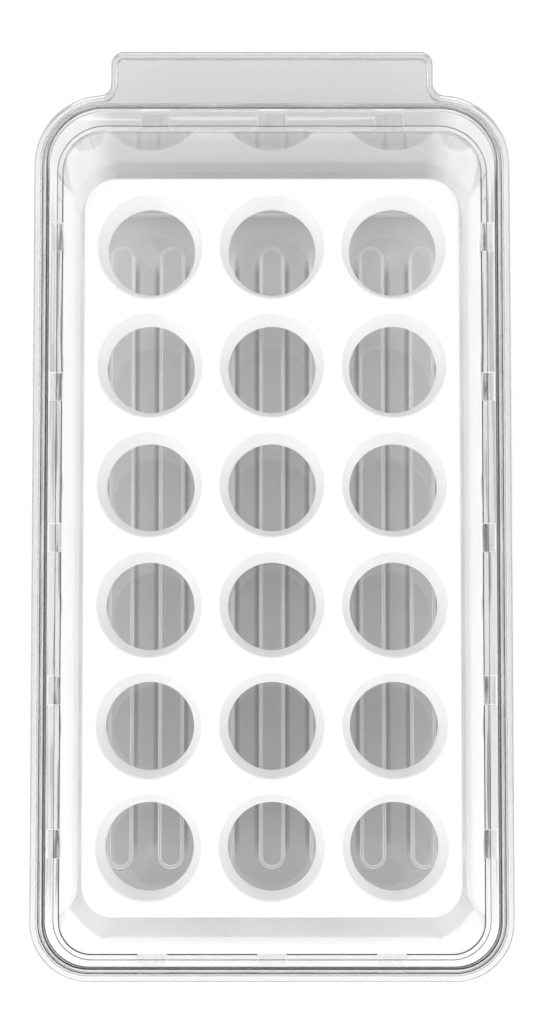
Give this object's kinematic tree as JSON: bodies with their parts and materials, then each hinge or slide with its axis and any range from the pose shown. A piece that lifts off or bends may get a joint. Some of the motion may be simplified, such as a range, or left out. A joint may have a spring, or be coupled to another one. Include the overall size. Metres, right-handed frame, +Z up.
{
  "type": "refrigerator egg holder",
  "caption": "Clear rectangular bin with a pull tab on its rim, and a white egg tray with round open cups that lifts out of it.",
  "frame": {"origin": "middle of the bin's flat base, under the middle of its cavity", "axes": "+Z up, +Y towards the pull tab, +X to the right"},
  "size_m": [0.1842, 0.3582, 0.1],
  "materials": {
    "clear_plastic": "clear, glossy, moulded",
    "white_plastic": "opaque white, satin, moulded"
  },
  "bodies": {
    "bin": {"bin": "clear_plastic"},
    "egg_tray": {"egg_tray": "white_plastic"}
  },
  "joints": [
    {"name": "tray_lift", "type": "slide", "parent": "bin", "child": "egg_tray", "axis": [0, 0, 1], "range_m": [0, 0.105]}
  ]
}
